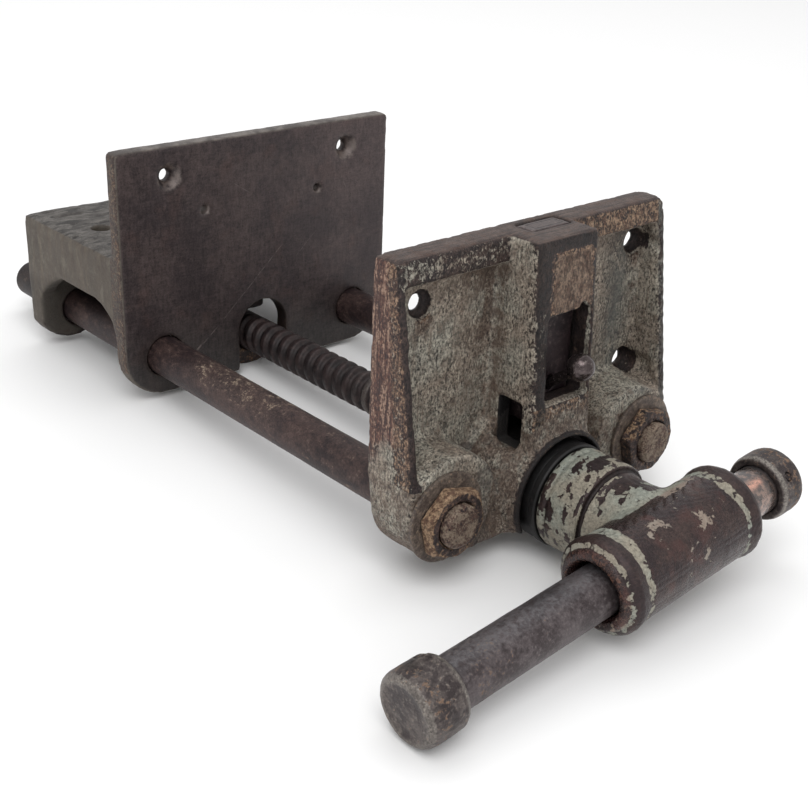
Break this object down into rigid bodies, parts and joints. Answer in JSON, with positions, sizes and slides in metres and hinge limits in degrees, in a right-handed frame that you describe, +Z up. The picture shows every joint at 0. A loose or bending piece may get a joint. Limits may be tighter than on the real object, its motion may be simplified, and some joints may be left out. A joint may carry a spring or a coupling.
{
  "type": "bench vise",
  "caption": "Under-bench woodworking vise: flanged rear jaw casting, sliding front jaw on guide rods, screw with half nut, sliding bar handle and raising bench dog.",
  "frame": {"origin": "centre of the flat upper face of the rear casting's flange, which is screwed against the underside of a bench top", "axes": "+Z up, out of the flange towards the bench; +Y towards the back, into the bench, along the guide rods and the screw; +X to the right of someone facing the handle"},
  "size_m": [0.238, 0.4654, 0.147],
  "materials": {
    "painted_casting": "worn grey-green paint over rusted cast iron",
    "machined_jaw": "dark brown machined cast iron, olive-grey painted sides",
    "rod_steel": "turned steel, brown patina with tan rust",
    "screw_steel": "oily dark steel with bright crests",
    "rusty_steel": "rusted ochre steel",
    "grey_steel": "worn grey steel",
    "hub_paint": "pale chipped paint over brown iron",
    "polished_steel": "polished steel",
    "spring_steel": "dark spring steel"
  },
  "bodies": {
    "fixed_jaw": {"rear_jaw_casting": "machined_jaw", "nut_pivot_pin": "grey_steel", "spring_guide_pin": "grey_steel", "nut_lift_spring": "spring_steel"},
    "sliding_jaw": {"front_jaw_casting": "painted_casting", "guide_rod_left": "rod_steel", "guide_rod_right": "rod_steel", "rod_washer_left": "grey_steel", "rod_washer_right": "grey_steel", "rod_nut_left": "rusty_steel", "rod_nut_right": "rusty_steel", "thrust_bush": "screw_steel", "dog_leaf_spring": "spring_steel"},
    "screw": {"main_screw": "screw_steel", "handle_hub": "hub_paint", "hub_pin": "grey_steel", "thrust_washer": "screw_steel", "retaining_collar": "grey_steel", "collar_set_screw": "grey_steel"},
    "handle": {"handle_bar": "grey_steel", "handle_cap_left": "grey_steel", "handle_cap_right": "grey_steel", "cap_pin_left": "spring_steel", "cap_pin_right": "spring_steel"},
    "dog": {"bench_dog": "screw_steel", "dog_knob": "polished_steel"},
    "nut": {"half_nut": "rusty_steel"}
  },
  "joints": [
    {"name": "jaw_slide", "type": "slide", "parent": "fixed_jaw", "child": "sliding_jaw", "axis": [0, 1, 0], "range_m": [-0.04, 0.1893]},
    {"name": "screw_turn", "type": "hinge", "parent": "sliding_jaw", "child": "screw", "pos_m": [0, -0.3, -0.0619], "axis": [0, 1, 0], "range_deg": [-1805, 8525]},
    {"name": "handle_slide", "type": "slide", "parent": "screw", "child": "handle", "axis": [0.9956, 0, 0.0941], "range_m": [-0.02, 0.08]},
    {"name": "dog_slide", "type": "slide", "parent": "sliding_jaw", "child": "dog", "axis": [0, 0, 1], "range_m": [0, 0.0188]},
    {"name": "nut_release", "type": "hinge", "parent": "fixed_jaw", "child": "nut", "pos_m": [-0.033, -0.017, -0.052], "axis": [0, 1, 0], "range_deg": [0, 10], "stiffness_Nm_per_rad": 1, "springref_deg": -17.19, "deforming": ["nut_lift_spring"]}
  ],
  "couplings": [
    {"joint": "screw_turn", "follows": "jaw_slide", "rad_per_m": 785.4}
  ]
}
